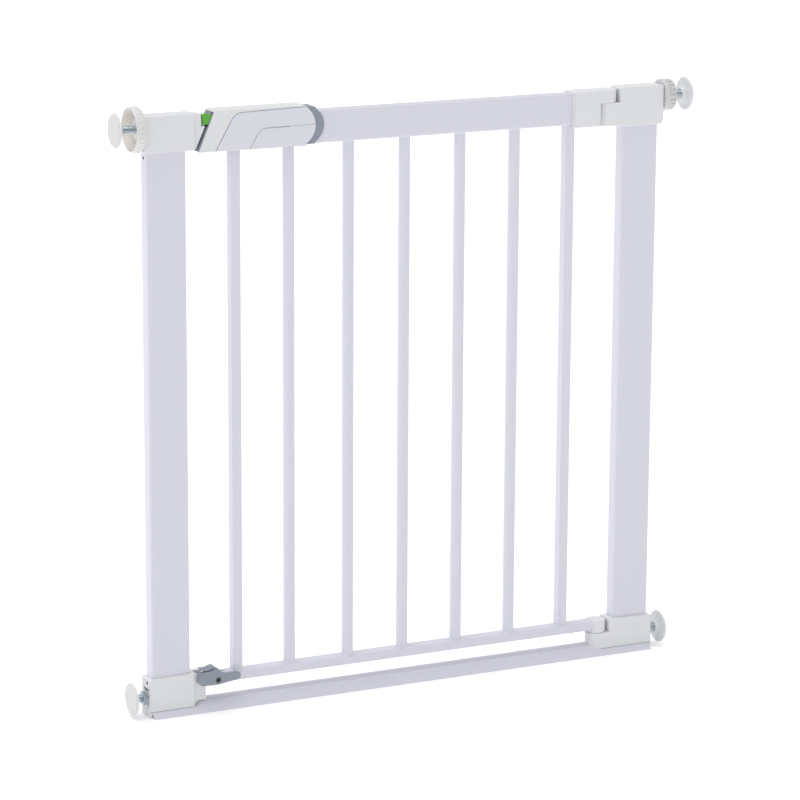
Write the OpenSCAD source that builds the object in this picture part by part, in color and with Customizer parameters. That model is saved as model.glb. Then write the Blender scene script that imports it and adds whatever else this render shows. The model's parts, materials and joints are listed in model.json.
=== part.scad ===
// Pressure-fit stair gate: a U-shaped steel frame held between two walls by four screw pads,
// a barred leaf that lifts and swings on two pins, and a sliding handle that works the latch.
// Millimetres. X runs along the gate, Y points away from the room side, Z is up from the floor.

/* [Frame] */
// Outer width of the steel frame
frame_w = 716.6; // [700:0.1:730]
// Width of each post
post_w = 52.2; // [50:0.1:54]
// Depth of each post
post_d = 20; // [19:0.1:20]
// Corner radius of a post
post_r = 3; // [3:0.5:5]
// Wall of every steel tube
wall = 1.5; // [1:0.1:1.8]
// Height of the floor bar
floor_h = 13; // [12:0.5:14]
// Depth of the floor bar on the floor
floor_base = 43; // [40:1:46]
// Depth of the floor bar's flat top
floor_top = 18; // [16:1:20]

/* [Leaf] */
// Top of the leaf's upper rail
rail_z = 760.6; // [759:0.1:761]
// Height of the upper rail
rail_h = 41.3; // [40:0.1:42]
// Depth of the upper rail
rail_d = 20; // [19:0.1:20]
// Underside of the leaf's lower rail
low_z = 33.5; // [33:0.1:34]
// Height of the lower rail
low_h = 12.5; // [12:0.1:13]
// Depth of the lower rail
low_d = 18; // [17:0.1:18]
// Spacing of the bars
pitch = 78.25; // [78:0.05:78.5]
// Centre of the square stile on the latch side
stile_x = -238.9; // [-240:0.1:-238]
// Side of the two square stiles
stile = 12.6; // [12:0.1:13]
// Radius of the five round bars
bar_r = 7.5; // [7:0.1:8]
// How far bar 2 sits towards the latch from an even spacing
bar_2_shift = 4; // [0:0.5:4]
// Distance of the hinge axis from the middle
hinge_x = 285; // [284:0.1:285]
// How far the leaf lifts to clear the lower keeper
lift = 4.5; // [3:0.5:4.5]

/* [Latch] */
// Depth of the plastic housings
shell_d = 28; // [27:0.5:29]
// Depth of the handle
handle_d = 30; // [30:0.5:31]
// Top of the handle
handle_z = 769; // [768.5:0.5:770]
// Travel of the handle when it is slid back
slide = 14; // [13:0.5:14]
// Height of the tongue
tongue_h = 20; // [18:1:20]
// Thickness of the tongue
tongue_t = 12; // [10:1:12]

/* [Adjusters] */
// Radius of the threaded spindles
spindle_r = 4.95; // [4.9:0.01:4.97]
// Radius of the wall pads
pad_r = 21.6; // [20:0.1:22]
// Height of the upper spindles
upper_z = 750; // [749:0.5:751]
// Height of the lower spindles
lower_z = 24; // [23.5:0.5:25]
// Distance from the post to the face of the upper pad on the latch side
upper_left_out = 38.7; // [38:0.1:42]
// Distance from the post to the face of the upper pad on the hinge side
upper_right_out = 47.7; // [46:0.1:50]
// Distance from the posts to the faces of the lower pads
lower_out = 25.7; // [25:0.1:30]

/* [Hidden] */
$fn = 48;

white = [0.90, 0.90, 0.91];
steel_white = [0.86, 0.86, 0.90];
zinc = [0.66, 0.70, 0.72];
grey = [0.53, 0.55, 0.60];
green = [0.35, 0.67, 0.14];
soft = [0.84, 0.84, 0.84];

half_w = frame_w / 2;
post_x = half_w - post_w / 2;
post_foot = floor_h + 1.5;
post_top = 762;
sh = shell_d / 2;
fit = 0.07;
bore_r = spindle_r + fit;
socket_r = spindle_r + 0.03;
pin_r = 4;
pin_bore = pin_r + 0.05;

// latch housing, on the post of the latch side
lh_left = -half_w - 4.2;
lh_right = -295.5;
lh_z0 = 721.5;
lh_z1 = 767;
nose_y = 11.5;

// the handle's slanted end: its X at a height, and how much X it gains for each mm of height
slant = 0.448;
function cover_end(z) = -290.6 + slant * (z - 721);
function base_end(z) = cover_end(z) - 0.9;
function nose_end(z) = cover_end(z) - 3.3;
tongue_z0 = 733;
tongue_z1 = tongue_z0 + tongue_h;
tongue_back = -222;
tongue_in = 11;
slot_w = tongue_t / 2 + 0.3;
pocket_w = slot_w + 1.4;
pocket_z0 = tongue_z0 - 2;
pocket_z1 = tongue_z1 + lift + 3.5;
pocket_x = -303;
rail_left = -248;
rail_right = 262;

// handle outline
handle_z0 = 718.3;
cover_wall = 2;
hh = handle_d / 2;
base_y = hh - cover_wall - 0.3;
base_top = handle_z - cover_wall - 0.5;
base_z0 = handle_z0 + 1.4;
// the belly at the other end: where its two straight sides would meet, and their corner's radius
belly_tip = [-119.2, 743.6];
base_tip = [-112.7, 744];
belly_r = 27;
base_r = 24;
screw_x = [-228, -168];
screw_z = 743;
boss_r = 4.5;
screw_r = 2.5;

// hinge side
knuckle_r = sh;
part_z = 746;
hh_z0 = 713.5;
hh_z1 = 765;
hh_right = half_w + 6.7;
leaf_shell_x = 231;
leaf_shell_z0 = 716;
leaf_shell_z1 = 762.5;

// lower brackets
br_out = half_w + 4.7;
br_z0 = 8;
ll_right = -301.5;
ll_top = 53;
nose_right = -285.6;
nose_top = 50;
lr_top = 49;
ledge_z = 29.5;
plug_r = 13.25;
plug_z0 = ledge_z + 0.5;
stud_z = low_z + low_h / 2;
stud_r = 4;
low_left = -284;

// stop lever
lever_x = -271;
lever_z = 40.2;
lever_y0 = -18;
lever_y1 = -12.5;

// wall side of each adjuster: mirrored to +X for the hinge side
facing_t = 1.6;
disc_t = 2.4;
hub_l = 6;

module slab_y(y0, y1) {
  translate([0, y1, 0]) rotate([90, 0, 0]) linear_extrude(y1 - y0) children();
}
module slab_x(x0, x1) {
  translate([x0, 0, 0]) rotate([90, 0, 90]) linear_extrude(x1 - x0) children();
}
module block(x0, x1, y0, y1, z0, z1) {
  translate([x0, y0, z0]) cube([x1 - x0, y1 - y0, z1 - z0]);
}
module rod_x(x0, x1, z, r, y = 0) {
  translate([x0, y, z]) rotate([0, 90, 0]) cylinder(h = x1 - x0, r = r);
}
module rod_y(y0, y1, x, z, r) {
  translate([x, y0, z]) rotate([-90, 0, 0]) cylinder(h = y1 - y0, r = r);
}
module rod_z(z0, z1, x, r) {
  translate([x, 0, z0]) cylinder(h = z1 - z0, r = r);
}
module round_rect(w, d, r) {
  square([w - 2 * r, d], center = true);
  square([w, d - 2 * r], center = true);
  for (x = [-1, 1], y = [-1, 1])
    translate([x * (w / 2 - r), y * (d / 2 - r)]) circle(r);
}
module tube_outline(w, d, r) {
  difference() {
    round_rect(w, d, r);
    round_rect(w - 2 * wall, d - 2 * wall, r - wall);
  }
}

// a plug that slides into that tube
module plug_outline(w, d, r) {
  round_rect(w - 2 * wall - 0.2, d - 2 * wall - 0.2, r - wall);
}

// corners of an outline replaced by arcs of the given radii
function unit(v) = v / norm(v);
function corner(a, b, c, r, n) =
  let (
    u = unit(a - b), v = unit(c - b), h = acos(u * v) / 2,
    m = b + unit(u + v) * r / sin(h),
    p = b + u * r / tan(h) - m, q = b + v * r / tan(h) - m,
    s = atan2(p[1], p[0]), d = atan2(q[1], q[0]) - s,
    w = d > 180 ? d - 360 : d < -180 ? d + 360 : d
  ) [for (k = [0:n]) m + r * [cos(s + w * k / n), sin(s + w * k / n)]];
function rounded(pts, radii, n = 5) =
  let (c = len(pts)) [
    for (i = [0:c - 1])
      each radii[i] == 0 ? [pts[i]]
        : corner(pts[(i + c - 1) % c], pts[i], pts[(i + 1) % c], radii[i], n)
  ];

// frame
module post(side) {
  color(steel_white)
  difference() {
    translate([side * post_x, 0, post_foot])
      linear_extrude(post_top - post_foot) tube_outline(post_w, post_d, post_r);
    for (z = [lower_z, upper_z])
      rod_x(side > 0 ? half_w - 4 : -half_w - 1, side > 0 ? half_w + 1 : -half_w + 4, z, 6);
    rod_y(-post_d, post_d, side * post_x, 731, 1.8);
    if (side < 0) rod_x(-half_w - 1, -half_w + 4, 714.5, 2.6);
  }
}
module left_post() { post(-1); }
module right_post() { post(1); }

module floor_outline(inset) {
  polygon([
    [-floor_base / 2 + inset * 1.9, inset],
    [-floor_top / 2 + inset * 0.6, floor_h - inset],
    [floor_top / 2 - inset * 0.6, floor_h - inset],
    [floor_base / 2 - inset * 1.9, inset],
  ]);
}
bracket_screw_x = [-313, -294, 276, 313];
module floor_bar() {
  color(steel_white)
  difference() {
    slab_x(-half_w - 1.2, half_w + 1.2) difference() {
      floor_outline(0);
      floor_outline(wall);
    }
    for (x = bracket_screw_x) {
      rod_z(floor_h - 3, floor_h + 1, x, 2.2);
      rod_z(-1, 3, x, 5);
    }
  }
}

// latch housing: two half shells around the post, with the pocket that takes the tongue
module latch_shell(front) {
  y0 = front ? -sh : 0;
  y1 = front ? 0 : sh;
  n0 = front ? -nose_y : 0;
  n1 = front ? 0 : nose_y;
  color(white)
  difference() {
    union() {
      slab_y(y0, y1) polygon(rounded([
        [lh_left, lh_z0 + 2], [lh_left + 2, lh_z0], [lh_right, lh_z0], [lh_right, lh_z1],
        [lh_left, lh_z1],
      ], [0, 0, 0, 3, 3]));
      slab_y(n0, n1) polygon([
        [lh_right - 2, lh_z0 + 1.5], [nose_end(lh_z0 + 1.5), lh_z0 + 1.5],
        [nose_end(763), 763], [lh_right + 5, 766], [lh_right - 2, lh_z1],
      ]);
    }
    block(-half_w, -half_w + post_w, -post_d / 2, post_d / 2, lh_z0 - 1, post_top);
    rod_x(lh_left - 1, -half_w + 1, upper_z, 6);
    block(pocket_x, -260, -pocket_w, pocket_w, pocket_z0, pocket_z1);
    block(-286.5, -260, -nose_y - 1, -6, 750.5, lh_z1 + 1);
    for (p = latch_screws) screw_hole(front, p);
  }
}
latch_screws = [[-post_x, 731], [-300.5, 726]];
module latch_housing_front() { latch_shell(true); }
module latch_housing_back() { latch_shell(false); }
module strike_plate() {
  color(zinc)
  difference() {
    block(pocket_x, -292, -pocket_w, pocket_w, pocket_z0, pocket_z1);
    block(pocket_x + 1.4, -280, -slot_w - 0.1, slot_w + 0.1, pocket_z0 + 1.2, pocket_z1 - 1.2);
  }
}
module screw_hole(front, p) {
  rod_y(front ? 4 - sh : -1, sh + 1, p[0], p[1], 1.8);
  rod_y(sh - 2.5, sh + 1, p[0], p[1], 3.4);
}
module back_screw(p) {
  rod_y(4 - sh, sh - 2.4, p[0], p[1], 1.75);
  difference() {
    rod_y(sh - 2.5, sh - 0.4, p[0], p[1], 3.2);
    rod_y(sh - 1.6, sh, p[0], p[1], 1.2);
  }
}
module housing_screws() {
  color(zinc) for (p = concat(latch_screws, hinge_screws)) back_screw(p);
}

// hinge housing: two half shells around the other post, with the ledge that carries the leaf
hinge_screws = [[post_x, 731], [298, 722]];
module hinge_shell(front) {
  y0 = front ? -sh : 0;
  y1 = front ? 0 : sh;
  color(white)
  difference() {
    union() {
      slab_y(y0, y1) polygon(rounded([
        [300, hh_z0 + 2], [302, hh_z0], [hh_right - 3, hh_z0 + 0.5], [hh_right, hh_z0 + 8],
        [hh_right, hh_z1], [300, hh_z1],
      ], [0, 0, 2, 6, 3, 3]));
      block(hinge_x, 301, y0, y1, leaf_shell_z0, part_z - 0.3);
      intersection() {
        rod_z(leaf_shell_z0, part_z - 0.3, hinge_x, knuckle_r);
        block(hinge_x - 20, hinge_x + 20, y0, y1, leaf_shell_z0 - 1, part_z);
      }
    }
    block(half_w - post_w, half_w, -post_d / 2, post_d / 2, hh_z0 - 1, post_top);
    rod_x(half_w - 1, hh_right + 1, upper_z, 6);
    rod_z(721, part_z + 1, hinge_x, pin_bore);
    for (p = hinge_screws) screw_hole(front, p);
  }
}
module hinge_housing_front() { hinge_shell(true); }
module hinge_housing_back() { hinge_shell(false); }

// lower brackets: they straddle the floor bar and hold the feet of the posts
// foot of a bracket, which closes the end of the floor bar
module bracket_foot(side) {
  end = half_w + 1.25;
  intersection() {
    slab_x(side > 0 ? end : -br_out, side > 0 ? br_out : -end) floor_outline(0);
    block(-400, 400, -sh, sh, 0.4, br_z0 + 1);
  }
}
module bracket_cuts(side) {
  translate([side * post_x, 0, post_foot])
    linear_extrude(60) square([post_w, post_d], center = true);
  slab_x(-half_w - 1.25, half_w + 1.25) floor_outline(0);
  rod_x(side > 0 ? half_w - 1 : -br_out - 1, side > 0 ? br_out + 1 : -half_w + 1, lower_z, 6);
  for (x = bracket_screw_x)
    rod_z(floor_h - 1, floor_h + 12, x, 2.05);
}
module lower_latch_bracket() {
  color(white)
  difference() {
    union() {
      slab_y(-sh, sh) polygon(rounded([
        [-br_out, br_z0], [ll_right, br_z0], [ll_right, ll_top - 0.9], [-br_out, ll_top - 2.4],
      ], [0, 0, 2, 2.5]));
      bracket_foot(-1);
      slab_y(-nose_y, 12) polygon(rounded([
        [ll_right - 1, br_z0], [ll_right, br_z0], [ll_right + 7, 15], [nose_right, 15],
        [nose_right, nose_top], [ll_right - 1, nose_top],
      ], [0, 0, 0, 0, 2, 0]));
    }
    bracket_cuts(-1);
    // keeper: a trough for the stud, with a low lip towards the room and a full wall behind
    block(-298, nose_right + 1, -stud_r - 0.6, stud_r + 0.6, stud_z - stud_r - 0.6, ll_top);
    block(-298, nose_right + 1, -sh, 0, stud_z - stud_r + lift - 1, ll_top);
    rod_x(-br_out - 1, -half_w + 1, 45.2, 2.2, -5);
    block(-br_out - 1, -half_w + 1, -11.5, 5.7, 35.5, 37.3);
  }
}
module lower_hinge_bracket() {
  color(white)
  difference() {
    union() {
      slab_y(-sh, sh) polygon(rounded([
        [299, br_z0], [br_out, br_z0], [br_out, lr_top - 2.4], [299, lr_top - 1.2],
      ], [0, 0, 2.5, 2]));
      bracket_foot(1);
      rod_z(br_z0, ledge_z, hinge_x, sh);
      block(hinge_x, 300, -sh, sh, br_z0, ledge_z);
    }
    bracket_cuts(1);
    rod_z(ledge_z, 60, hinge_x, plug_r + 0.5);
    rod_z(floor_h - 0.5, 60, hinge_x, pin_bore);
  }
}
module bracket_screws() {
  color(zinc) for (x = bracket_screw_x) {
    rod_z(floor_h - wall - 3, floor_h - wall, x, 4);
    rod_z(floor_h - wall - 0.1, floor_h + 12, x, 2);
  }
}

// guides inside the posts for the spindles
module guide(side, z, z0, z1, screwed) {
  color(soft)
  difference() {
    translate([side * post_x, 0, z0]) linear_extrude(z1 - z0)
      plug_outline(post_w, post_d, post_r);
    rod_x(side > 0 ? post_x - 14 : -half_w, side > 0 ? half_w : -post_x + 14, z, bore_r);
    if (screwed) rod_z(z0 - 1, floor_h + 12, side * 313, 2.05);
  }
}
module upper_left_guide() { guide(-1, upper_z, 738, 761, false); }
module upper_right_guide() { guide(1, upper_z, 738, 761, false); }
module lower_left_guide() { guide(-1, lower_z, post_foot + 1.7, 36, true); }
module lower_right_guide() { guide(1, lower_z, post_foot + 1.7, 36, true); }

// adjusters, drawn for the latch side: out is the distance of the pad's face from the post
module on_side(side, z) {
  translate([0, 0, z]) mirror([side > 0 ? 1 : 0, 0, 0]) translate([-half_w, 0, 0])
    rotate([0, 90, 0]) children();
}
module spindle(side, z, out, length) {
  color(zinc) on_side(side, z)
    translate([0, 0, -out + facing_t + disc_t]) cylinder(h = length, r = spindle_r);
}
module pad(side, z, out) {
  color(white) on_side(side, z) translate([0, 0, -out + facing_t]) rotate_extrude()
    polygon([
      [0, 0], [pad_r - 1.1, 0], [pad_r, 1], [pad_r - 0.3, disc_t - 0.4], [pad_r - 3, disc_t],
      [11, disc_t + 1.4], [8, disc_t + 3.4], [7, disc_t + hub_l], [socket_r, disc_t + hub_l],
      [socket_r, disc_t - 0.02], [0, disc_t - 0.02],
    ]);
}
module facing(side, z, out) {
  color(soft) on_side(side, z) translate([0, 0, -out]) rotate_extrude()
    polygon([
      [0, 0.4], [1.3, 0.4], [1.3, 0], [pad_r - 4, 0], [pad_r - 1.6, 0.5], [pad_r - 1.1, facing_t],
      [0, facing_t],
    ]);
}
module upper_left_spindle() { spindle(-1, upper_z, upper_left_out, 58); }
module upper_right_spindle() { spindle(1, upper_z, upper_right_out, 68); }
module lower_left_spindle() { spindle(-1, lower_z, lower_out, 49); }
module lower_right_spindle() { spindle(1, lower_z, lower_out, 49); }
module upper_left_pad() { pad(-1, upper_z, upper_left_out); }
module upper_right_pad() { pad(1, upper_z, upper_right_out); }
module lower_left_pad() { pad(-1, lower_z, lower_out); }
module lower_right_pad() { pad(1, lower_z, lower_out); }
module upper_left_facing() { facing(-1, upper_z, upper_left_out); }
module upper_right_facing() { facing(1, upper_z, upper_right_out); }
module lower_left_facing() { facing(-1, lower_z, lower_out); }
module lower_right_facing() { facing(1, lower_z, lower_out); }

// hand wheels: nuts with a grip, which bear on the housings and drive the spindles
module grip_ribs(count, r, rib_r, z0, z1) {
  for (k = [0:count - 1])
    rotate([0, 0, k * 360 / count]) translate([r, 0, z0]) cylinder(h = z1 - z0, r = rib_r);
}
module upper_left_wheel() {
  color(soft) on_side(-1, upper_z) translate([0, 0, -17.7]) {
    rotate_extrude() polygon([
      [bore_r, 7.2], [9, 7.2], [9, 9.6], [15, 9.6], [25.4, 0.8], [26, 0], [27.2, 0], [27.6, 0.8],
      [27.6, 12], [26.6, 12.8], [bore_r, 12.8],
    ]);
    grip_ribs(30, 27.3, 1.1, 2, 11);
  }
}
module upper_right_wheel() {
  color(soft) on_side(1, upper_z) translate([0, 0, -24.7]) {
    rotate_extrude() polygon([
      [bore_r, 0], [16.5, 0], [19.6, 2.4], [19.6, 12], [20.8, 12.4], [20.8, 17], [19.8, 17.6],
      [bore_r, 17.6],
    ]);
    grip_ribs(20, 19.3, 1.2, 3.2, 11.4);
  }
}
module flange_nut(side) {
  color(zinc) on_side(side, lower_z) translate([0, 0, -11]) difference() {
    union() {
      cylinder(h = 5, r = 9.2, $fn = 6);
      translate([0, 0, 4]) cylinder(h = 1.8, r = 10.8);
    }
    translate([0, 0, -1]) cylinder(h = 9, r = bore_r);
  }
}
module lower_left_nut() { flange_nut(-1); }
module lower_right_nut() { flange_nut(1); }

// leaf
module top_rail() {
  color(steel_white)
  difference() {
    slab_x(rail_left, rail_right)
      translate([0, rail_z - rail_h / 2]) tube_outline(rail_d, rail_h, 3);
    for (x = screw_x) slot_y(-rail_d, rail_d, x, screw_r + 0.6);
  }
}
module slot_y(y0, y1, x, r) {
  rod_y(y0, y1, x, screw_z, r);
  rod_y(y0, y1, x + slide, screw_z, r);
  block(x, x + slide, y0, y1, screw_z - r, screw_z + r);
}
module bottom_rail() {
  color(steel_white)
  difference() {
    slab_x(low_left, hinge_x - 6)
      translate([0, low_z + low_h / 2]) tube_outline(low_d, low_h, 2);
    rod_y(-low_d, 0, lever_x, lever_z, 2.3);
    rod_z(low_z - 1, low_z + 3, 247, 1.6);
    rod_z(low_z + low_h - 3, low_z + low_h + 1, -258, 1.6);
  }
}
function bar_x(i) = stile_x + (i - 1) * pitch - (i == 2 ? bar_2_shift : 0);
bar_z0 = low_z + low_h;
bar_z1 = rail_z - rail_h;
module square_bar(x) {
  color(steel_white) difference() {
    block(x - stile / 2, x + stile / 2, -stile / 2, stile / 2, bar_z0, bar_z1);
    block(x - stile / 2 + wall, x + stile / 2 - wall, -stile / 2 + wall, stile / 2 - wall,
      bar_z0 - 1, bar_z1 + 1);
  }
}
module round_bar(i) {
  color(steel_white) difference() {
    rod_z(bar_z0, bar_z1, bar_x(i), bar_r);
    rod_z(bar_z0 - 1, bar_z1 + 1, bar_x(i), bar_r - wall);
  }
}
module latch_stile() { square_bar(bar_x(1)); }
module hinge_stile() { square_bar(bar_x(7)); }
module bar_2() { round_bar(2); }
module bar_3() { round_bar(3); }
module bar_4() { round_bar(4); }
module bar_5() { round_bar(5); }
module bar_6() { round_bar(6); }

// leaf hinge: two half shells on the end of the upper rail, with the knuckle on top
leaf_screw = [266.5, 738];
module leaf_shell(front) {
  y0 = front ? -sh : 0;
  y1 = front ? 0 : sh;
  foot_x = hinge_x - knuckle_r - 0.4;
  color(white)
  difference() {
    union() {
      slab_y(y0, y1) polygon(rounded([
        [leaf_shell_x, leaf_shell_z0], [foot_x, leaf_shell_z0], [foot_x, part_z],
        [hinge_x, part_z], [hinge_x, leaf_shell_z1], [leaf_shell_x, leaf_shell_z1],
      ], [1.5, 0, 0, 0, 0, 1.5]));
      intersection() {
        rod_z(part_z, leaf_shell_z1, hinge_x, knuckle_r);
        block(hinge_x - 20, hinge_x + 20, y0, y1, part_z - 1, leaf_shell_z1 + 1);
      }
    }
    slab_x(leaf_shell_x - 1, rail_right)
      translate([0, rail_z - rail_h / 2]) square([rail_d, rail_h], center = true);
    block(leaf_shell_x - 1, bar_x(7) + stile / 2 + 0.2, -stile / 2 - 0.2, stile / 2 + 0.2,
      leaf_shell_z0 - 1, bar_z1 + 1);
    rod_z(part_z - 1, leaf_shell_z1 - 2.5, hinge_x, pin_bore);
    screw_hole(front, leaf_screw);
  }
}
module leaf_hinge_front() { leaf_shell(true); }
module leaf_hinge_back() { leaf_shell(false); }
module leaf_hinge_screws() {
  color(zinc) back_screw(leaf_screw);
}
module lower_hinge_plug() {
  color(white)
  difference() {
    rod_z(plug_z0, low_z + low_h, hinge_x, plug_r);
    slab_x(hinge_x - 20, hinge_x - 6)
      translate([0, low_z + low_h / 2]) square([low_d, low_h], center = true);
    rod_z(plug_z0 - 1, low_z + low_h - 1.5, hinge_x, pin_bore);
  }
}
module rail_plugs() {
  color(white) {
    rod_z(low_z - 2.6, low_z, 247, 2.6);
    rod_z(low_z - 0.1, low_z + 3, 247, 1.5);
    rod_z(low_z + low_h, low_z + low_h + 1.8, -258, 2.6);
    rod_z(low_z + low_h - 3, low_z + low_h + 0.1, -258, 1.5);
  }
}
module upper_hinge_pin() {
  color(zinc) rod_z(723, leaf_shell_z1 - 2.6, hinge_x, pin_r);
}
module lower_hinge_pin() {
  color(zinc) rod_z(floor_h + 1, low_z + low_h - 1.6, hinge_x, pin_r);
}
module end_stud() {
  color(white)
  difference() {
    union() {
      slab_x(low_left, -262) translate([0, stud_z]) plug_outline(low_d, low_h, 2);
      rod_x(-295.5, low_left + 1, stud_z, stud_r);
    }
    rod_y(-low_d, 5, lever_x, lever_z, 2.05);
  }
}

// handle: a grey base fixed over the end of the rail, and two covers that slide along it
handle_outline = rounded([
  [cover_end(handle_z0 + 1) + 0.5, handle_z0], [cover_end(handle_z), handle_z],
  [-148.2, handle_z], belly_tip, [-149.3, handle_z0],
], [0, 0, 0, belly_r, 0], 12);
module cover(front) {
  y0 = front ? -hh : 0;
  y1 = front ? 0 : hh;
  s = front ? -1 : 1;
  color(white)
  difference() {
    union() {
      difference() {
        slab_y(y0, y1) polygon(handle_outline);
        block(-320, -100, -hh + cover_wall, hh - cover_wall, 700, handle_z - cover_wall);
      }
      for (x = screw_x)
        rod_y(front ? -hh + 1 : rail_d / 2 + 0.3, front ? -rail_d / 2 - 0.3 : hh - 1, x, screw_z,
          boss_r);
    }
    for (x = screw_x)
      rod_y(front ? -hh + 2.2 : 0, front ? 0 : hh + 1, x, screw_z, screw_r + 0.05);
    if (!front) for (x = screw_x) rod_y(hh - 1.6, hh + 1, x, screw_z, 4.2);
    if (front) slab_y(-hh - 1, -hh + 1) polygon(panel_outline(0));
  }
}
function panel_outline(gap) = rounded([
  [-223.9 + gap, handle_z0 - 1], [-208.6 + gap, 744.3 - gap], [belly_tip[0], 744.9 - gap],
  [belly_tip[0], handle_z0 - 1],
], [0, 17, 0, 0], 12);
module handle_front() { cover(true); }
module handle_back() { cover(false); }
module grip_panel() {
  color(white) intersection() {
    slab_y(-hh + 0.2, -hh + 1) polygon(panel_outline(0.3));
    slab_y(-hh, 0) polygon(handle_outline);
  }
}
module handle_screws() {
  color(zinc) for (x = screw_x) {
    rod_y(-hh + 2.2, hh - 1.5, x, screw_z, screw_r);
    difference() {
      rod_y(hh - 1.6, hh - 0.3, x, screw_z, 4);
      rod_y(hh - 1, hh, x, screw_z, 1.5);
    }
  }
}
module handle_base() {
  color(grey)
  difference() {
    slab_y(-base_y, base_y) polygon(rounded([
      [base_end(base_z0) + 0.5, base_z0], [base_end(base_top), base_top],
      [-134.2, base_top], base_tip, [-134.1, base_z0],
    ], [0, 0, 2, base_r, 0], 12));
    block(rail_left, -100, -rail_d / 2, rail_d / 2, 700, rail_z);
    block(-320, rail_left + 1, -slot_w, slot_w, tongue_z0 - 0.4, tongue_z1 + 0.4);
    block(-320, rail_left + 1, -12, -7.7, 749.4, base_top + 1);
    block(-320, rail_left + 1, -8, -slot_w + 1, 749.4, tongue_z1 + 0.4);
    for (x = screw_x) slot_y(-hh, hh, x, boss_r + 0.4);
  }
}
module spring_stop() {
  color(white) block(-196, -188, -rail_d / 2 + wall, rail_d / 2 - wall, 734, 752);
}
module return_spring() {
  color(zinc) difference() {
    rod_x(tongue_back, -196, screw_z, 6);
    rod_x(tongue_back - 1, -195, screw_z, 4.6);
  }
}
module latch_tongue() {
  tip = nose_end(tongue_z0) - tongue_in;
  color(zinc)
  difference() {
    slab_y(-tongue_t / 2, tongue_t / 2) polygon([
      [tip, tongue_z0], [tongue_back, tongue_z0], [tongue_back, tongue_z1],
      [tip + slant * tongue_h, tongue_z1],
    ]);
    rod_y(-tongue_t, tongue_t, screw_x[0], screw_z, screw_r + 0.05);
    block(-267, -262.3, -tongue_t, -tongue_t / 2 + 1.5, 750, tongue_z1 + 1);
  }
}
module lock_indicator() {
  color(green) {
    slab_y(-11.6, -8) polygon([
      [-284, 752.4], [-264, 752.4], [-264, 764.6], [-277.5, 764.6], [-280.5, 766.6],
      [-284.6, 764.2],
    ]);
    block(-267, -262.4, -8.1, -tongue_t / 2 + 1.5, 750.1, 753);
    block(-267, -262.4, -11.6, -8, 750.1, 752.5);
  }
}

// stop lever: a paddle in front of the keeper, a tail to turn it by and a wing over the top
module stop_lever() {
  color(grey)
  difference() {
    union() {
      rod_y(lever_y0, lever_y1, -289.2, 43.5, 9.3);
      slab_y(lever_y0, lever_y1) polygon(rounded([
        [-289.2, 34.2], [lever_x, 33.6], [-244.5, 37.4], [-244.5, 47.8], [-263.5, 47.8],
        [-272, 57], [-282, 52.9], [-289.2, 52.8],
      ], [0, 0, 0, 0, 6, 5, 6, 0]));
      rod_y(lever_y0, lever_y1, -244.6, 42.6, 5.2);
      slab_y(lever_y0 + 1, -3) polygon(rounded([
        [-293, 55.9], [-285.5, 55.5], [-275.5, 58.8], [-267.6, 52.2], [-269, 51.2], [-275.5, 56.8],
        [-285.5, 53.7], [-293, 54.6],
      ], [0, 8, 6, 0, 0, 4, 8, 0]));
      rod_y(lever_y1 - 0.5, -low_d / 2 - 0.1, lever_x, lever_z, 6);
    }
    rod_y(lever_y0 - 1, -low_d / 2 + 1, lever_x, lever_z, 2.05);
    rod_y(lever_y0 - 1, lever_y0 + 2.6, lever_x, lever_z, 3.6);
  }
}
module lever_screw() {
  color([0.3, 0.28, 0.27]) {
    rod_y(lever_y0 + 2.4, 4, lever_x, lever_z, 2);
    difference() {
      rod_y(lever_y0 + 1, lever_y0 + 2.5, lever_x, lever_z, 3.3);
      rod_y(lever_y0, lever_y0 + 2.2, lever_x, lever_z, 1.2);
    }
  }
}

left_post();
right_post();
floor_bar();
latch_housing_front();
latch_housing_back();
strike_plate();
hinge_housing_front();
hinge_housing_back();
housing_screws();
lower_latch_bracket();
lower_hinge_bracket();
bracket_screws();
upper_left_guide();
upper_right_guide();
lower_left_guide();
lower_right_guide();
upper_left_spindle();
upper_right_spindle();
lower_left_spindle();
lower_right_spindle();
upper_left_pad();
upper_right_pad();
lower_left_pad();
lower_right_pad();
upper_left_facing();
upper_right_facing();
lower_left_facing();
lower_right_facing();
upper_left_wheel();
upper_right_wheel();
lower_left_nut();
lower_right_nut();
top_rail();
bottom_rail();
latch_stile();
hinge_stile();
bar_2();
bar_3();
bar_4();
bar_5();
bar_6();
leaf_hinge_front();
leaf_hinge_back();
leaf_hinge_screws();
lower_hinge_plug();
rail_plugs();
upper_hinge_pin();
lower_hinge_pin();
handle_base();
spring_stop();
return_spring();
end_stud();
handle_front();
handle_back();
grip_panel();
handle_screws();
latch_tongue();
lock_indicator();
stop_lever();
lever_screw();
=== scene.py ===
"""Looks of the stair gate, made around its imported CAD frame.

Lengths are metres in the frame's own axes, and millimetres where a name or a comment says mm.
"""

import json
import math

import bmesh
import bpy
from mathutils import Matrix, Vector, noise

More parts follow.
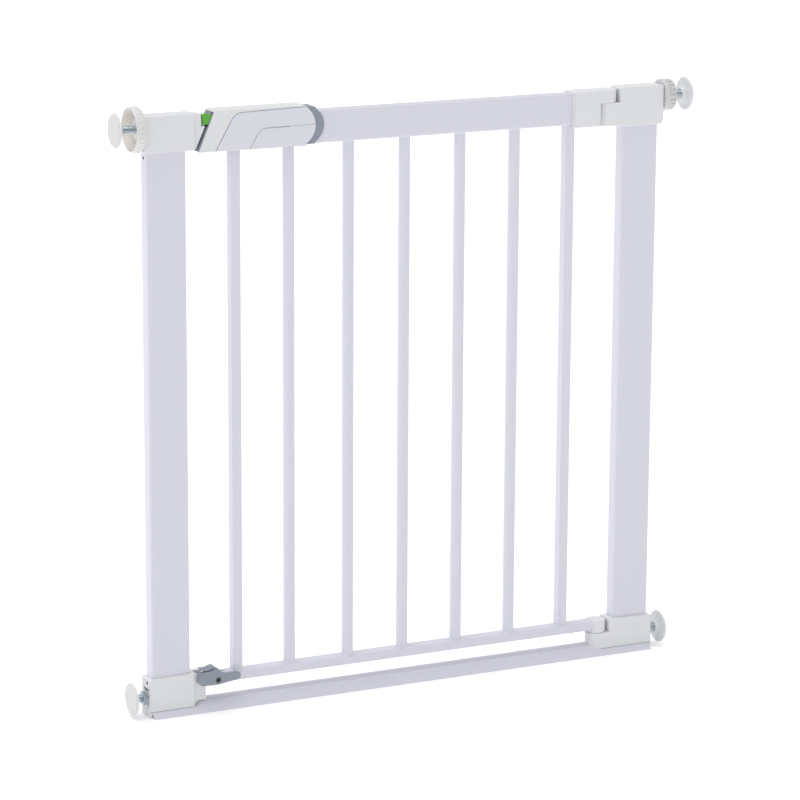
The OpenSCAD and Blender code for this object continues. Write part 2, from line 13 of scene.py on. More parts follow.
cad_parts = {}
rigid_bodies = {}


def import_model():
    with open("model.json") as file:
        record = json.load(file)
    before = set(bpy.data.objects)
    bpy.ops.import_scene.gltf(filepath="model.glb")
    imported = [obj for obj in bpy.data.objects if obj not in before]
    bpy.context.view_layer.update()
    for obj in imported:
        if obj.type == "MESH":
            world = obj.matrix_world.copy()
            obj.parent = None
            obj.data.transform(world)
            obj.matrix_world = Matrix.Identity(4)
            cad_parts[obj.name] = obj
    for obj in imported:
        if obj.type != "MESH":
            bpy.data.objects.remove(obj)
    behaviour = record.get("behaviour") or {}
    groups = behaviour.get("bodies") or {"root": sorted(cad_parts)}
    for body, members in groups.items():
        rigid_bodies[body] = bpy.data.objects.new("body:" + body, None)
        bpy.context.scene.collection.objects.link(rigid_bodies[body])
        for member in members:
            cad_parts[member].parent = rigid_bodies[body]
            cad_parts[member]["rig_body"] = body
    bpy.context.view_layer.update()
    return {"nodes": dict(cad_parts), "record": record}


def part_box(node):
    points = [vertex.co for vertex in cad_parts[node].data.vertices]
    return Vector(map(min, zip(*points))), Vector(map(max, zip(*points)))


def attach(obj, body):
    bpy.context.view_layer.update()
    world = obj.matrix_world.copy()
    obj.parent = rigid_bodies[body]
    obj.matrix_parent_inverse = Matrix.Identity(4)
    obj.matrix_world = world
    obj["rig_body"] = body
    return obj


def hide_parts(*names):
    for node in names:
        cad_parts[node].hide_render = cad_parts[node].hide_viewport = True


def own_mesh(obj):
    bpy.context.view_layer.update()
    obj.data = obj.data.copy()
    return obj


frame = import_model()
nodes = frame["nodes"]
slot_of = {part["node"]: part["material_slot"] for part in frame["record"]["subparts"]}
MM = 0.001


# ---- camera, floor and light

CAMERA_PLACE = (-1.8985, -3.9171, 1.4073)
CAMERA_LENS = 156.43  # mm
CAMERA_SENSOR = 36  # mm wide
CAMERA_REACH = 100  # metres, beyond the floor's far edge
CAMERA_AZIMUTH = math.radians(-25.76)
CAMERA_HEIGHT_ANGLE = math.radians(13.33)
CAMERA_ROLL = math.radians(0.33)

SUNS = (  # name, where it shines from, strength, spread in degrees
    ("sun_above", (-0.15, 0.08, 1), 1.5, 60),
    ("sun_left", (-1, 0.12, 0.25), 0.42, 50),
    ("sun_right", (1, 0.35, 0.3), 0.3, 50),
)
SKY_STRENGTH = 0.58
FLOOR_SIZE = 60
FLOOR_COLOUR = (0.9, 0.9, 0.9, 1)
FLOOR_GLOW = 0.2
PURE_WHITE = (1, 1, 1, 1)


def make_camera():
    """The camera looks along -back, with right to its right."""
    data = bpy.data.cameras.new("camera")
    data.sensor_width = CAMERA_SENSOR
    data.lens = CAMERA_LENS
    data.clip_end = CAMERA_REACH
    camera = bpy.data.objects.new("camera", data)
    across, high = math.cos(CAMERA_HEIGHT_ANGLE), math.sin(CAMERA_HEIGHT_ANGLE)
    sin_a, cos_a = math.sin(CAMERA_AZIMUTH), math.cos(CAMERA_AZIMUTH)
    back = Vector((sin_a * across, -cos_a * across, high))
    right = Vector((cos_a, sin_a, 0))
    turn = Matrix((right, back.cross(right), back)).transposed()
    turn = turn @ Matrix.Rotation(CAMERA_ROLL, 3, "Z")
    camera.matrix_world = Matrix.Translation(CAMERA_PLACE) @ turn.to_4x4()
    bpy.context.scene.collection.objects.link(camera)
    bpy.context.scene.camera = camera


def make_sun(name, towards, strength, spread):
    """A wide soft sun: towards is where it shines from."""
    data = bpy.data.lights.new(name, "SUN")
    data.energy = strength
    data.angle = math.radians(spread)
    sun = bpy.data.objects.new(name, data)
    sun.rotation_euler = Vector(towards).to_track_quat("Z", "Y").to_euler()
    bpy.context.scene.collection.objects.link(sun)


def make_studio():
    """White surroundings and a pale floor."""
    scene = bpy.context.scene
    scene.view_settings.view_transform = "Standard"
    world = bpy.data.worlds.new("studio")
    world.use_nodes = True
    sky = world.node_tree.nodes["Background"]
    sky.inputs["Color"].default_value = PURE_WHITE
    sky.inputs["Strength"].default_value = SKY_STRENGTH
    scene.world = world
    for sun in SUNS:
        make_sun(*sun)
    bpy.ops.mesh.primitive_grid_add(x_subdivisions=4, y_subdivisions=4, size=FLOOR_SIZE)
    floor = bpy.context.object
    floor.name = "floor"
    pale = bpy.data.materials.new("pale_floor")
    pale.use_nodes = True
    shader = pale.node_tree.nodes["Principled BSDF"]
    shader.inputs["Base Color"].default_value = FLOOR_COLOUR
    shader.inputs["Roughness"].default_value = 1
    shader.inputs["Specular IOR Level"].default_value = 0
    shader.inputs["Emission Color"].default_value = PURE_WHITE
    shader.inputs["Emission Strength"].default_value = FLOOR_GLOW
    floor.data.materials.append(pale)


# ---- materials

COAT_ROUGHNESS = 0.15
DRIFT_SCALE = 22  # per metre, of the slow drift in colour
GLOSS_LOW, GLOSS_HIGH = 0.85, 1.15  # the roughness runs between these shares of its value
RELIEF_STRENGTH = 0.5


def surface(name, colour, rough, grain, relief,
            drift=0.02, metal=0.0, coat=0.0, stretch=(1, 1, 1)):
    """A material with a slow drift in colour, a varied gloss and a fine relief.

    grain is the fine noise's scale per metre, and relief its height in metres.
    drift is the colour's change both ways, and stretch squeezes the noise along an axis.
    """
    material = bpy.data.materials.new(name)
    material.use_nodes = True
    tree = material.node_tree
    shader = tree.nodes["Principled BSDF"]
    shader.inputs["Metallic"].default_value = metal
    shader.inputs["Coat Weight"].default_value = coat
    shader.inputs["Coat Roughness"].default_value = COAT_ROUGHNESS
    place = tree.nodes.new("ShaderNodeTexCoord")
    squeeze = tree.nodes.new("ShaderNodeMapping")
    squeeze.inputs["Scale"].default_value = stretch
    tree.links.new(place.outputs["Object"], squeeze.inputs["Vector"])

    def cloud(scale, detail):
        texture = tree.nodes.new("ShaderNodeTexNoise")
        texture.inputs["Scale"].default_value = scale
        texture.inputs["Detail"].default_value = detail
        tree.links.new(squeeze.outputs["Vector"], texture.inputs["Vector"])
        return texture.outputs["Fac"]

    slow, fine = cloud(DRIFT_SCALE, 3), cloud(grain, 2)
    tint = tree.nodes.new("ShaderNodeMix")
    tint.data_type = "RGBA"
    tint.inputs["A"].default_value = (*[c * (1 - drift) for c in colour], 1)
    tint.inputs["B"].default_value = (*[min(1, c * (1 + drift)) for c in colour], 1)
    tree.links.new(slow, tint.inputs["Factor"])
    tree.links.new(tint.outputs["Result"], shader.inputs["Base Color"])
    gloss = tree.nodes.new("ShaderNodeMapRange")
    gloss.inputs["From Min"].default_value = 0.3
    gloss.inputs["From Max"].default_value = 0.7
    gloss.inputs["To Min"].default_value = rough * GLOSS_LOW
    gloss.inputs["To Max"].default_value = min(1, rough * GLOSS_HIGH)
    tree.links.new(fine, gloss.inputs["Value"])
    tree.links.new(gloss.outputs["Result"], shader.inputs["Roughness"])
    bump = tree.nodes.new("ShaderNodeBump")
    bump.inputs["Strength"].default_value = RELIEF_STRENGTH
    bump.inputs["Distance"].default_value = relief
    tree.links.new(fine, bump.inputs["Height"])
    tree.links.new(bump.outputs["Normal"], shader.inputs["Normal"])
    return material


PAINT = surface("powder_coat", (0.70, 0.70, 0.79), 0.38, 420, 0.00003, drift=0.008, coat=0.25)
WHITE = surface("white_moulding", (0.755, 0.765, 0.785), 0.42, 2600, 0.00002, drift=0.01)
# painted light: a cooler, slightly darker copy of the white moulding for the light's cool cast on
# the handle's panel
PANEL = surface("painted_cool_cast", (0.72, 0.725, 0.80), 0.40, 2600, 0.00002, drift=0.01)
ZINC = surface("zinc_plate", (0.55, 0.61, 0.65), 0.26, 900, 0.00002,
               drift=0.10, metal=1.0, stretch=(6, 1, 1))
NATURAL = surface("natural_moulding", (0.80, 0.79, 0.74), 0.5, 2000, 0.00002)
WHEEL = surface("wheel_moulding", (0.72, 0.72, 0.715), 0.5, 2200, 0.00003)
CROWN = surface("crown_moulding", (0.62, 0.62, 0.625), 0.5, 2200, 0.00003)
# painted shade: a warm tint on the cup's inside and its fins, for the shade there
WHEEL_INSIDE_SHADE = surface("wheel_inside_shade", (0.80, 0.76, 0.71), 0.6, 1200, 0.00006, drift=0.04)
# painted light: the hub is made whiter than the wheel to stand in for the light on it
LIT_HUB = surface("wheel_hub_painted_light", (0.88, 0.88, 0.88), 0.5, 2200, 0.00003)
RUBBER = surface("soft_facing", (0.69, 0.69, 0.685), 0.7, 3000, 0.00004, drift=0.015)
GREY = surface("grey_moulding", (0.27, 0.30, 0.36), 0.42, 2400, 0.00003, drift=0.03)
# painted shade: a dark colour drawn in the handle's groove, along the grip's upper edge and under
# the brackets
PAINTED_SHADE = surface("painted_shade", (0.36, 0.37, 0.41), 0.6, 2400, 0.00003)
DEEP = surface("deep_shade", (0.06, 0.06, 0.065), 0.7, 2400, 0.00003)
OXIDE = surface("blackened_steel", (0.10, 0.085, 0.075), 0.4, 900, 0.00002, drift=0.1, metal=1.0)
GREEN = surface("green_moulding", (0.09, 0.41, 0.018), 0.3, 2200, 0.00001, drift=0.04, coat=0.2)
MATERIALS = {
    "painted_steel": PAINT,
    "white_plastic": WHITE,
    "zinc_plated_steel": ZINC,
    "natural_plastic": NATURAL,
    "wheel_plastic": WHEEL,
    "soft_facing": RUBBER,
    "grey_plastic": GREY,
    "green_plastic": GREEN,
    "blackened_steel": OXIDE,
}


# ---- mesh helpers

SHARP_ANGLE = math.radians(32)
ROUNDED_ANGLE = math.radians(28)  # edges of a moulding that are flatter than this stay as they are
FLAT_ANGLE = math.radians(0.8)  # faces that meet at less than this are one face
NO_LENGTH = 1e-9
MERGE_DRAWN, MERGE_ISLANDS, MERGE_CAD = 1e-7, 1e-6, 2e-6  # points closer than this are one
LEVEL_SLACK = 0.03 * MM  # a point this close to a depth lies at it
OUTLINE_SLACK = 0.25 * MM


def clamp(t):
    return max(0, min(1, t))


def smooth_step(t):
    t = clamp(t)
    return t * t * (3 - 2 * t)


def shade(piece):
    """Smooth shading, broken at sharp edges."""
    form = bmesh.new()
    form.from_mesh(piece.data)
    for face in form.faces:
        face.smooth = True
    for edge in form.edges:
        edge.smooth = edge.is_manifold and edge.calc_face_angle(0) < SHARP_ANGLE
    form.to_mesh(piece.data)
    form.free()
    if "weighted" not in piece.modifiers:
        piece.modifiers.new("weighted", "WEIGHTED_NORMAL").keep_sharp = True


def new_piece(name, points, faces, material):
    """A clean closed mesh as an object: doubled points are merged and its faces look outwards."""
    mesh = bpy.data.meshes.new(name)
    mesh.from_pydata(points, [], faces)
    form = bmesh.new()
    form.from_mesh(mesh)
    bmesh.ops.remove_doubles(form, verts=form.verts, dist=MERGE_DRAWN)
    bmesh.ops.recalc_face_normals(form, faces=form.faces)
    form.to_mesh(mesh)
    form.free()
    mesh.materials.append(material)
    piece = bpy.data.objects.new(name, mesh)
    bpy.context.scene.collection.objects.link(piece)
    shade(piece)
    return piece


def loft(rings, first=0, loop=False):
    """Points and faces of a skin over rings with equal counts: closed at its ends, or a loop."""
    count = len(rings[0])
    points = [p for ring in rings for p in ring]
    faces = []
    for a in range(len(rings) if loop else len(rings) - 1):
        b = (a + 1) % len(rings)
        for k in range(count):
            m = (k + 1) % count
            corners = (a * count + k, a * count + m, b * count + m, b * count + k)
            faces.append([first + i for i in corners])
    if not loop:
        faces.append([first + k for k in range(count)])
        faces.append([first + (len(rings) - 1) * count + k for k in reversed(range(count))])
    return points, faces


def add_loft(points, faces, rings, loop=False):
    """Adds a loft to the points and faces of a mesh in the making."""
    more_points, more_faces = loft(rings, first=len(points), loop=loop)
    points += more_points
    faces += more_faces


def stand_for(piece, *cad):
    """piece rides on the body of the CAD nodes that it stands for, and takes their finish."""
    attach(piece, nodes[cad[0]]["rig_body"])
    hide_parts(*cad)
    return piece


def trim_of(piece, node):
    """A small piece that goes with a CAD node, on its body and with its finish."""
    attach(piece, nodes[node]["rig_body"])
    return piece


def rounded(points, radii, steps=5):
    """An outline's corners replaced by arcs of the given radii, 0 for a sharp corner."""
    result = []
    for i, (corner, radius) in enumerate(zip(points, radii)):
        corner = Vector(corner)
        if radius == 0:
            result.append(corner)
            continue
        u = (Vector(points[i - 1]) - corner).normalized()
        v = (Vector(points[(i + 1) % len(points)]) - corner).normalized()
        half = u.angle(v) / 2
        centre = corner + (u + v).normalized() * radius / math.sin(half)
        start = corner + u * radius / math.tan(half) - centre
        end = corner + v * radius / math.tan(half) - centre
        a0 = math.atan2(start.y, start.x)
        sweep = math.atan2(end.y, end.x) - a0
        sweep -= 2 * math.pi * round(sweep / (2 * math.pi))
        for k in range(steps + 1):
            a = a0 + sweep * k / steps
            result.append(centre + radius * Vector((math.cos(a), math.sin(a))))
    return result


def hull_of(points):
    """The convex outline around points in a plane."""
    points = sorted(set(points))
    halves = []
    for run in (points, points[::-1]):
        half = []
        for p in run:
            while len(half) > 1:
                (ax, ay), (bx, by) = half[-2], half[-1]
                if (bx - ax) * (p[1] - ay) - (by - ay) * (p[0] - ax) > 0:
                    break
                half.pop()
            half.append(p)
        halves += half[:-1]
    return halves


def gap_to(line, x, z):
    """How far a point is from the nearest part of an open line."""
    best = math.inf
    for (ax, az), (bx, bz) in zip(line, line[1:]):
        dx, dz = bx - ax, bz - az
        t = clamp(((x - ax) * dx + (z - az) * dz) / max(dx * dx + dz * dz, 1e-12))
        best = min(best, math.hypot(x - ax - t * dx, z - az - t * dz))
    return best


def x_at(line, z, otherwise):
    """Where an open line first reaches the height z, or otherwise if it doesn't."""
    for (ax, az), (bx, bz) in zip(line, line[1:]):
        if az <= z <= bz:
            return ax + (bx - ax) * (z - az) / max(bz - az, NO_LENGTH)
    return otherwise


def islands(node):
    """The box of each separate solid of a CAD node."""
    form = bmesh.new()
    form.from_mesh(nodes[node].data)
    bmesh.ops.remove_doubles(form, verts=form.verts, dist=MERGE_ISLANDS)
    left, boxes = set(form.verts), []
    while left:
        todo, seen = [left.pop()], []
        while todo:
            vert = todo.pop()
            seen.append(vert.co.copy())
            for edge in vert.link_edges:
                other = edge.other_vert(vert)
                if other in left:
                    left.remove(other)
                    todo.append(other)
        box = [Vector([pick(p[i] for p in seen) for i in range(3)]) for pick in (min, max)]
        boxes.append(box)
    form.free()
    return sorted(boxes, key=lambda box: tuple(box[0]))


def moulded(node, edges, avoid=(), whole=False, above=0):
    """The CAD node's shape with rounded edges, the way a moulding leaves its tool.

    edges is a list of (y, radius), both mm: the outline of the face at that depth is rounded, and
    only where it lies on its convex hull unless whole is true. avoid is a list of circles, as
    (x, z, radius) in metres, whose edges stay sharp. Edges lower than above, in mm, stay sharp too.
    """
    form = bmesh.new()
    form.from_mesh(nodes[node].data)
    bmesh.ops.remove_doubles(form, verts=form.verts, dist=MERGE_CAD)
    bmesh.ops.dissolve_limit(form, angle_limit=FLAT_ANGLE, verts=form.verts, edges=form.edges)
    for depth, radius in edges:
        level = [v for v in form.verts if abs(v.co.y - depth * MM) < LEVEL_SLACK]
        outline = hull_of([(v.co.x, v.co.z) for v in level])
        outline += outline[:1]
        level = set(level)
        chosen = []
        for edge in form.edges:
            if not (edge.verts[0] in level and edge.verts[1] in level and edge.is_manifold):
                continue
            if edge.calc_face_angle(0) < ROUNDED_ANGLE:
                continue
            middle = (edge.verts[0].co + edge.verts[1].co) / 2
            if middle.z < above * MM:
                continue
            if any(math.hypot(middle.x - x, middle.z - z) < r for x, z, r in avoid):
                continue
            if whole or gap_to(outline, middle.x, middle.z) < OUTLINE_SLACK:
                chosen.append(edge)
        bmesh.ops.bevel(form, geom=chosen, offset=radius * MM, offset_type="OFFSET", segments=3,
                        profile=0.5, affect="EDGES", clamp_overlap=False, loop_slide=False)
    bmesh.ops.triangulate(form, faces=[f for f in form.faces if len(f.verts) > 4])
    form.verts.index_update()
    points = [tuple(v.co) for v in form.verts]
    faces = [[v.index for v in f.verts] for f in form.faces]
    form.free()
    return new_piece(node + "_moulding", points, faces, MATERIALS[slot_of[node]])


def carve(piece, *cutters):
    """Cuts the cutters out of piece and throws them away."""
    for cutter in cutters:
        cut = piece.modifiers.new("cut", "BOOLEAN")
        cut.object = cutter
        cut.solver = "EXACT"
    weighted = piece.modifiers.get("weighted")
    if weighted:
        piece.modifiers.remove(weighted)
    bpy.context.view_layer.update()
    evaluated = piece.evaluated_get(bpy.context.evaluated_depsgraph_get())
    mesh = bpy.data.meshes.new_from_object(evaluated)
    piece.modifiers.clear()
    piece.data = mesh
    for cutter in cutters:
        bpy.data.objects.remove(cutter)
    shade(piece)
    return piece


def extruded(name, outline, y0, y1, material):
    """A prism: an outline in X and Z, both mm, between two depths in mm."""
    rings = [[(p[0] * MM, y * MM, p[1] * MM) for p in outline] for y in (y0, y1)]
    return new_piece(name, *loft(rings), material)


def ribbon(name, line, width, y0, y1, material):
    """A prism along an open line in X and Z, all mm."""
    sides = []
    for i, p in enumerate(line):
        along = (Vector(line[min(i + 1, len(line) - 1)]) - Vector(line[max(i - 1, 0)])).normalized()
        across = Vector((-along.y, along.x)) * width / 2
        sides.append((Vector(p) + across, Vector(p) - across))
    outline = [a for a, b in sides] + [b for a, b in reversed(sides)]
    return extruded(name, outline, y0, y1, material)


# ---- turned pieces: pads, wheels, nuts, spindles and screws

def turned(name, node, profile, material, around=96, shape=None):
    """A turned piece on the axis of a CAD node along X.

    profile is a closed outline of (radius, distance in from the node's outer end), in mm.
    shape(radius, inward, angle) may change the radius.
    """
    low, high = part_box(node)
    side = -1 if low.x + high.x < 0 else 1
    outer = low.x if side < 0 else high.x
    height = (low.z + high.z) / 2
    rings = []
    for radius, inward in profile:
        ring = []
        for k in range(around):
            angle = 2 * math.pi * k / around
            r = (shape(radius, inward, angle) if shape else radius) * MM
            x = outer - side * inward * MM
            ring.append((x, r * math.sin(angle), height + r * math.cos(angle)))
        rings.append(ring)
    return new_piece(name, *loft(rings, loop=True), material)


def paint_faces(piece, material, chosen):
    """Gives material to the faces for which chosen(centre, normal) is true."""
    piece.data.materials.append(material)
    last = len(piece.data.materials) - 1
    for face in piece.data.polygons:
        if chosen(face.center, face.normal):
            face.material_index = last


SPINDLE_R = 4.95  # mm, as are the next two
BORE_R = 5.02
PAD_R = 21.6
THREAD_PITCH = 1.5 * MM
THREAD_DEPTH = 0.8 * MM
SCREW_PITCH = 0.9  # mm, of the small screws
Y, Z = 1, 2  # the places of these axes in a vector


def spindle(node):
    """A right-hand thread, as rings of points whose radius follows the helix."""
    low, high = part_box(node)
    height, radius = (low.z + high.z) / 2, (high.z - low.z) / 2
    around, per_turn = 24, 6
    count = round((high.x - low.x) / THREAD_PITCH * per_turn)
    rings = []
    for i in range(count + 1):
        x = low.x + (high.x - low.x) * i / count
        ring = []
        for k in range(around):
            phase = (x / THREAD_PITCH + k / around) % 1
            groove = clamp(1.4 * abs(2 * phase - 1) - 0.2)
            r = radius - THREAD_DEPTH * groove
            angle = 2 * math.pi * k / around
            ring.append((x, r * math.sin(angle), height + r * math.cos(angle)))
        rings.append(ring)
    stand_for(new_piece(node + "_thread", *loft(rings), ZINC), node)


def pad(side):
    """A wall pad: a stepped round rim, a dished back and a conical hub around the spindle's end."""
    node = side + "_pad"
    outline = rounded([
        (0.01, 0), (PAD_R - 1.4, 0), (PAD_R, 0.5), (PAD_R, 2.0), (PAD_R - 3.2, 2.1),
        (PAD_R - 4.2, 1.7), (12, 2.9), (8.6, 5.2), (7.4, 8.4),
        (SPINDLE_R + 0.03, 8.4), (SPINDLE_R + 0.03, 2.4), (0.01, 2.4),
    ], [0, 0.5, 0.5, 0.8, 0.6, 1.5, 3, 3, 0.6, 0, 0, 0], 4)
    stand_for(turned(node + "_moulding", node, outline, WHITE), node)


def facing(side):
    """A soft disc with a rounded rim, a faint ring and a dimple in its middle."""
    node = side + "_facing"
    outline = rounded([
        (0.01, 0.45), (1.2, 0.45), (1.5, 0), (17.2, 0), (17.6, 0.18), (18.0, 0),
        (20.0, 0.35), (20.5, 1.6), (0.01, 1.6),
    ], [0, 0.2, 0.2, 0.2, 0.1, 0.2, 0.6, 0, 0], 4)
    stand_for(turned(node + "_disc", node, outline, RUBBER), node)


def cup_wheel():
    """The hand wheel on the latch side: a cup open to the wall, with grip ribs outside."""
    node = "upper_left_wheel"
    hub_face, hub_r, rim_in, rim_out, depth = 9.6, 14, 25.2, 27.6, 12.8
    rim_face = 1.2
    outline = rounded([
        (BORE_R, 7.4), (8.8, 7.4), (9.4, hub_face), (hub_r, hub_face),
        (rim_in, rim_face), (rim_in + 0.5, 0), (rim_out - 0.2, 0), (rim_out, 1.4),
        (rim_out, 3.0), (rim_out, 4.2), (rim_out, 10.4), (rim_out, 11.6),
        (rim_out - 1, depth), (BORE_R, depth),
    ], [0.4, 0.5, 1.2, 1.0, 2.0, 0.4, 0.6, 0.8, 0, 0, 0, 0, 0.4, 0.4], 3)
    ribs = 30

    def shape(radius, inward, angle):
        wave = 0.5 + 0.5 * math.cos(ribs * angle)
        if radius > rim_out - 0.05 and 2.5 < inward < 12:
            ease = clamp((inward - 3.0) / 1.2) * clamp((11.6 - inward) / 1.2)
            return radius + 0.95 * ease * min(1, 1.6 * wave)
        return radius

    wheel = turned(node + "_cup", node, outline, WHEEL, 240, shape)
    low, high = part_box(node)
    height = (low.z + high.z) / 2

    def towards_wall(inner, outer):
        """A test for faces that look at the wall, between two radii in mm."""
        def chosen(centre, normal):
            r = math.hypot(centre.y, centre.z - height)
            return inner * MM <= r < outer * MM and normal.x < -0.1
        return chosen

    # the cup's inside takes the warm tint painted for its shade
    paint_faces(wheel, WHEEL_INSIDE_SHADE, towards_wall(hub_r + 0.1, rim_in + 0.1))
    # the hub's faces take the whiter colour painted for the light on it
    paint_faces(wheel, LIT_HUB, towards_wall(0, hub_r + 0.1))
    stand_for(wheel, node)

    # thin fins on the cone inside the cup
    count, thick = 24, 0.45
    foot_r, tip_r = hub_r + 0.4, rim_in - 1.2
    fin = ((foot_r, 0.2), (tip_r, 0.2), (tip_r, -0.5), (foot_r, -0.8))
    points, faces = [], []
    slope = (hub_face - rim_face) / (rim_in - hub_r)
    for k in range(count):
        angle = 2 * math.pi * (k + 0.5) / count
        out = Vector((0, math.sin(angle), math.cos(angle)))
        across = Vector((0, math.cos(angle), -math.sin(angle))) * thick * MM
        base = Vector((low.x, 0, height))
        rings = []
        for sign in (-1, 1):
            ring = []
            for radius, lift in fin:
                inward = hub_face - (radius - hub_r) * slope + lift
                point = base + out * radius * MM + Vector((inward * MM, 0, 0))
                ring.append(point + sign * across / 2)
            rings.append(ring)
        add_loft(points, faces, rings)
    # the fins take the same warm tint painted for the cup's shade
    trim_of(new_piece("upper_left_wheel_fins", points, faces, WHEEL_INSIDE_SHADE), node)


def crown_wheel():
    """The hand wheel on the hinge side: a plain flange by the housing, and a ribbed crown."""
    node = "upper_right_wheel"
    outline = rounded([
        (BORE_R, 0.6), (10.5, 0.6), (11, 0), (16.4, 0), (19.4, 1.6), (19.5, 3.2), (19.6, 4.2),
        (19.6, 11.2), (19.6, 12.0), (20.8, 12.3), (20.8, 17), (20.0, 17.6), (BORE_R, 17.6),
    ], [0.3, 0.3, 0.3, 1.5, 1.2, 0, 0, 0, 0.2, 0.4, 0.6, 0.3, 0.3], 3)
    ribs = 20

    def shape(radius, inward, angle):
        if 19.3 < radius < 19.7 and inward < 11.6:
            ease = clamp((inward - 1.4) / 1.6) * clamp((11.8 - inward) / 0.8)
            wave = clamp(0.5 + 1.1 * math.cos(ribs * angle))
            return radius + ease * (1.6 * wave - 1.0)
        return radius

    stand_for(turned(node + "_crown", node, outline, CROWN, 240, shape), node)


def lock_nut(node):
    """A hexagon nut with chamfered corners and a round flange."""
    across_corner, flange_r = 9.2, 10.8
    outline = rounded([
        (BORE_R + 0.6, 0), (8.2, 0), (across_corner, 0.9), (across_corner, 3.6),
        (across_corner, 4.2),
        (flange_r, 4.5), (flange_r, 5.6), (flange_r - 0.4, 5.8), (BORE_R, 5.8), (BORE_R, 0.6),
    ], [0.2, 0.2, 0.3, 0, 0, 0.3, 0.2, 0.1, 0, 0], 3)

    def shape(radius, inward, angle):
        if inward > 4.25 or radius < 7:
            return radius
        flat = across_corner * math.cos(math.pi / 6)
        turn = (angle + math.pi / 6) % (math.pi / 3) - math.pi / 6
        return min(radius, flat / math.cos(turn))

    stand_for(turned(node + "_hexagon", node, outline, ZINC, 96, shape), node)


def screw_outline(length, head_length, head_r, shank_r):
    """(radius, distance from the tip) along a screw with a drawn thread, mm."""
    outline = [(0.0, 0), (shank_r * 0.5, 0.1)]
    for k in range(int((length - head_length - 3) / SCREW_PITCH)):
        foot = SCREW_PITCH * (k + 1)
        outline += [(shank_r * 0.78, foot), (shank_r * 0.98, foot + SCREW_PITCH / 2)]
    neck = length - head_length
    outline += [(shank_r, neck - 1), (shank_r, neck - 0.2), (head_r * 0.9, neck)]
    outline += [(head_r, neck + 0.3), (head_r, length - 0.5), (head_r * 0.8, length - 0.12)]
    return outline + [(head_r * 0.4, length), (0, length)]


def cross_recess(place, head_r, material):
    """Two crossed wedges, to cut from a head. place(a, b, up) is a point by the head's top."""
    narrow, wide = 0.16 * head_r * MM, 0.56 * head_r * MM
    wedges = []
    for across, along in ((narrow, wide), (wide, narrow)):
        rings = []
        for up, share in ((0.4, 1.1), (-1.0, 0.45)):
            corners = ((-1, -1), (1, -1), (1, 1), (-1, 1))
            rings.append([place(a * across * share, b * along * share, up) for a, b in corners])
        wedges.append(new_piece("recess", *loft(rings), material))
    return wedges


def screws(node, axis, head_end, shank_r, head_length=1.6):
    """Cross-recessed screws in place of each solid of a node, along axis, heads at head_end."""
    around = 32
    points, faces, cutters = [], [], []
    material = MATERIALS[slot_of[node]]
    others = [i for i in range(3) if i != axis]
    for low, high in islands(node):
        middle = (low + high) / 2
        head_r = (high[others[0]] - low[others[0]]) / 2 / MM
        length = (high[axis] - low[axis]) / MM
        tip = low[axis] if head_end > 0 else high[axis]

        def place(a, b, up):
            """A point at a and b, metres, off the axis, and up, mm, from the tip."""
            point = middle.copy()
            point[axis] = tip + head_end * up * MM
            point[others[0]] += a
            point[others[1]] += b
            return point

        rings = []
        for radius, up in screw_outline(length, head_length, head_r, shank_r):
            ring = []
            for k in range(around):
                angle = 2 * math.pi * k / around
                ring.append(place(radius * MM * math.cos(angle), radius * MM * math.sin(angle), up))
            rings.append(ring)
        add_loft(points, faces, rings)
        cutters += cross_recess(lambda a, b, up: place(a, b, length + up), head_r, material)
    piece = new_piece(node + "_heads", points, faces, material)
    carve(piece, *cutters)
    stand_for(piece, node)


def return_spring():
    """A wire wound from the tongue to the spring stop, at its length at rest."""
    low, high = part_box("return_spring")
    coil_r, wire_r = 5.3 * MM, 0.65 * MM
    turns, per_turn, around = 8, 20, 8
    height = (low.z + high.z) / 2
    start, length = low.x + wire_r, high.x - low.x - 2 * wire_r
    rings = []
    for i in range(turns * per_turn + 1):
        share = i / (turns * per_turn)
        closing = share - 0.045 * math.sin(2 * math.pi * share)  # the end turns lie closer together
        angle = 2 * math.pi * i / per_turn
        out = Vector((0, math.sin(angle), math.cos(angle)))
        centre = Vector((start + length * closing, 0, height)) + coil_r * out
        ring = []
        for k in range(around):
            turn = 2 * math.pi * k / around
            along = math.sin(turn) * Vector((1, 0, 0))
            ring.append(centre + wire_r * (math.cos(turn) * out + along))
        rings.append(ring)
    spring = new_piece("return_spring_coil", *loft(rings), ZINC)
    stand_for(spring, "return_spring")
    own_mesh(spring)


def weld_beads():
    """A small concave fillet where each bar meets the rails."""
    reach, climb, sink, around = 1.3, 1.3, 0.5, 48
    profile = [  # (out from the bar's side, up from the rail), mm
        (-0.4, -sink), (reach, -sink), (reach, 0.05), (reach * 0.45, 0.3 * climb),
        (reach * 0.15, 0.62 * climb), (0.03, climb), (-0.4, climb),
    ]
    points, faces = [], []
    for node in ("latch_stile", "bar_2", "bar_3", "bar_4", "bar_5", "bar_6", "hinge_stile"):
        low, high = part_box(node)
        x, half = (low.x + high.x) / 2, (high.x - low.x) / 2
        square = node.endswith("stile")
        for level, up in ((low.z, 1), (high.z, -1)):
            rings = []
            for out, lift in profile:
                ring = []
                for k in range(around):
                    angle = 2 * math.pi * k / around
                    cos_a, sin_a = math.cos(angle), math.sin(angle)
                    wobble = 1 + 0.12 * noise.noise(Vector((x * 200, 3 * cos_a, 3 * sin_a + level)))
                    edge = half
                    if square:
                        edge = min(half / max(abs(cos_a), abs(sin_a)), half * 1.36)
                    r = edge + out * (wobble if out > 0 else 1) * MM
                    ring.append((x + r * cos_a, r * sin_a, level + up * lift * MM))
                rings.append(ring)
            add_loft(points, faces, rings, loop=True)
    trim_of(new_piece("weld_beads", points, faces, PAINT), "top_rail")


# ---- the shells

